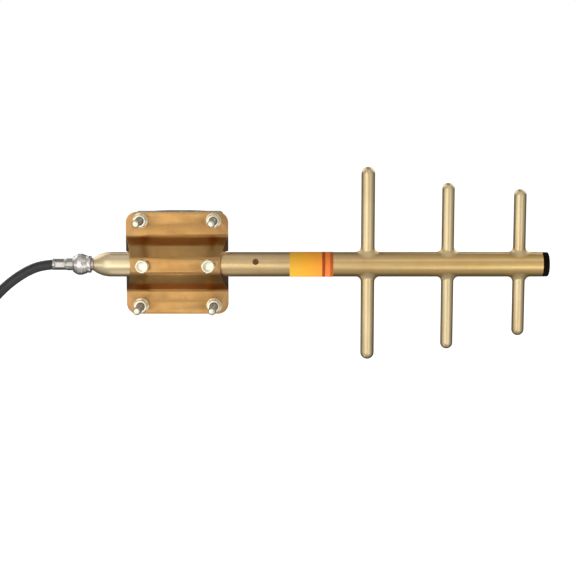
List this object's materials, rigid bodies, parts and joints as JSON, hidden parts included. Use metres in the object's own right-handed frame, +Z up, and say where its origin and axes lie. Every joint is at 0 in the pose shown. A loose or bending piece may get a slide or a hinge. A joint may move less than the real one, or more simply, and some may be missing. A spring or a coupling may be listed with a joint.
{
  "type": "yagi antenna",
  "caption": "Directional yagi antenna: a tube boom with upright rod elements, an arched bracket plate with a bolted mast clamp, and a hanging coax jumper.",
  "frame": {"origin": "on the mast clamp's axis, at the height of the boom's axis", "axes": "+Z up the mast, +X along the boom to its front end; the boom stands on the -Y side of the mast"},
  "size_m": [0.6193, 0.091, 0.4823],
  "materials": {
    "gold_anodised": "satin gold anodise",
    "gold_weld": "anodised weld bead",
    "bracket_gold": "satin gold-bronze conversion coating",
    "cast_clamp": "sand-cast",
    "zinc_steel": "bright zinc plate",
    "nickel_plate": "satin nickel plate",
    "gold_contact": "gold plated",
    "ptfe": "white fluoropolymer",
    "nylon": "natural nylon",
    "gasket_rubber": "silicone",
    "copper": "bare copper jacket",
    "match_brass": "drawn rod",
    "black_cap": "moulded vinyl",
    "black_screw": "dark oxide",
    "cable_jacket": "black polyethylene jacket",
    "label_yellow": "printed vinyl",
    "stripe_red": "printed vinyl",
    "stripe_orange": "printed vinyl"
  },
  "bodies": {
    "antenna": {"boom_tube": "gold_anodised", "reflector_element": "gold_anodised", "driven_element": "gold_anodised", "director_element": "gold_anodised", "reflector_welds": "gold_weld", "driven_element_welds": "gold_weld", "director_welds": "gold_weld", "bracket_plate": "bracket_gold", "mast_saddle_upper": "cast_clamp", "mast_saddle_lower": "cast_clamp", "crown_bolts": "zinc_steel", "crown_lock_washers": "zinc_steel", "crown_nuts": "zinc_steel", "clamp_flat_washers": "zinc_steel", "clamp_lock_washers": "zinc_steel", "jack_body": "nickel_plate", "jack_lock_ring": "nickel_plate", "plug_body": "nickel_plate", "plug_ferrule": "nickel_plate", "far_plug_body": "nickel_plate", "far_plug_ferrule": "nickel_plate", "jack_contact": "gold_contact", "plug_pin": "gold_contact", "far_plug_pin": "gold_contact", "jack_insulator": "ptfe", "plug_insulator": "ptfe", "far_plug_insulator": "ptfe", "match_rod_sleeve": "ptfe", "feed_line_spacers": "nylon", "plug_gasket": "gasket_rubber", "far_plug_gasket": "gasket_rubber", "feed_line": "copper", "feed_line_core": "copper", "match_rod": "match_brass", "boom_end_cap": "black_cap", "feed_clip_screw": "black_screw", "coax_cable": "cable_jacket", "label_band": "label_yellow", "stripe_bands": "stripe_red", "stripe_gap_band": "stripe_orange"},
    "upper_jaw": {"rear_jaw_upper": "cast_clamp", "clamp_bolts_upper": "zinc_steel"},
    "lower_jaw": {"rear_jaw_lower": "cast_clamp", "clamp_bolts_lower": "zinc_steel"},
    "upper_left_nut": {"clamp_nut_upper_left": "zinc_steel"},
    "upper_right_nut": {"clamp_nut_upper_right": "zinc_steel"},
    "lower_left_nut": {"clamp_nut_lower_left": "zinc_steel"},
    "lower_right_nut": {"clamp_nut_lower_right": "zinc_steel"},
    "coupling_nut": {"plug_coupling_nut": "nickel_plate"},
    "far_coupling_nut": {"far_plug_coupling_nut": "nickel_plate"}
  },
  "joints": [
    {"name": "upper_jaw_slide", "type": "slide", "parent": "antenna", "child": "upper_jaw", "axis": [0, 1, 0], "range_m": [0, 0.012]},
    {"name": "upper_left_nut_turn", "type": "hinge", "parent": "antenna", "child": "upper_left_nut", "pos_m": [-0.038, -0.0305, 0.0445], "axis": [0, -1, 0], "range_deg": [0, 3458]},
    {"name": "upper_right_nut_turn", "type": "hinge", "parent": "antenna", "child": "upper_right_nut", "pos_m": [0.038, -0.0305, 0.0445], "axis": [0, -1, 0], "range_deg": [0, 3458]},
    {"name": "lower_jaw_slide", "type": "slide", "parent": "antenna", "child": "lower_jaw", "axis": [0, 1, 0], "range_m": [0, 0.012]},
    {"name": "lower_left_nut_turn", "type": "hinge", "parent": "antenna", "child": "lower_left_nut", "pos_m": [-0.038, -0.0305, -0.0445], "axis": [0, -1, 0], "range_deg": [0, 3458]},
    {"name": "lower_right_nut_turn", "type": "hinge", "parent": "antenna", "child": "lower_right_nut", "pos_m": [0.038, -0.0305, -0.0445], "axis": [0, -1, 0], "range_deg": [0, 3458]},
    {"name": "coupling_nut_spin", "type": "hinge", "parent": "antenna", "child": "coupling_nut", "pos_m": [-0.0995, -0.0337, 0], "axis": [-1, 0, 0], "continuous": true},
    {"name": "far_coupling_nut_spin", "type": "hinge", "parent": "antenna", "child": "far_coupling_nut", "pos_m": [-0.2246, -0.0337, -0.3705], "axis": [0, 0, -1], "continuous": true}
  ],
  "couplings": [
    {"joint": "upper_left_nut_turn", "follows": "upper_jaw_slide", "rad_per_m": 5026.5},
    {"joint": "upper_right_nut_turn", "follows": "upper_jaw_slide", "rad_per_m": 5026.5},
    {"joint": "lower_left_nut_turn", "follows": "lower_jaw_slide", "rad_per_m": 5026.5},
    {"joint": "lower_right_nut_turn", "follows": "lower_jaw_slide", "rad_per_m": 5026.5}
  ]
}
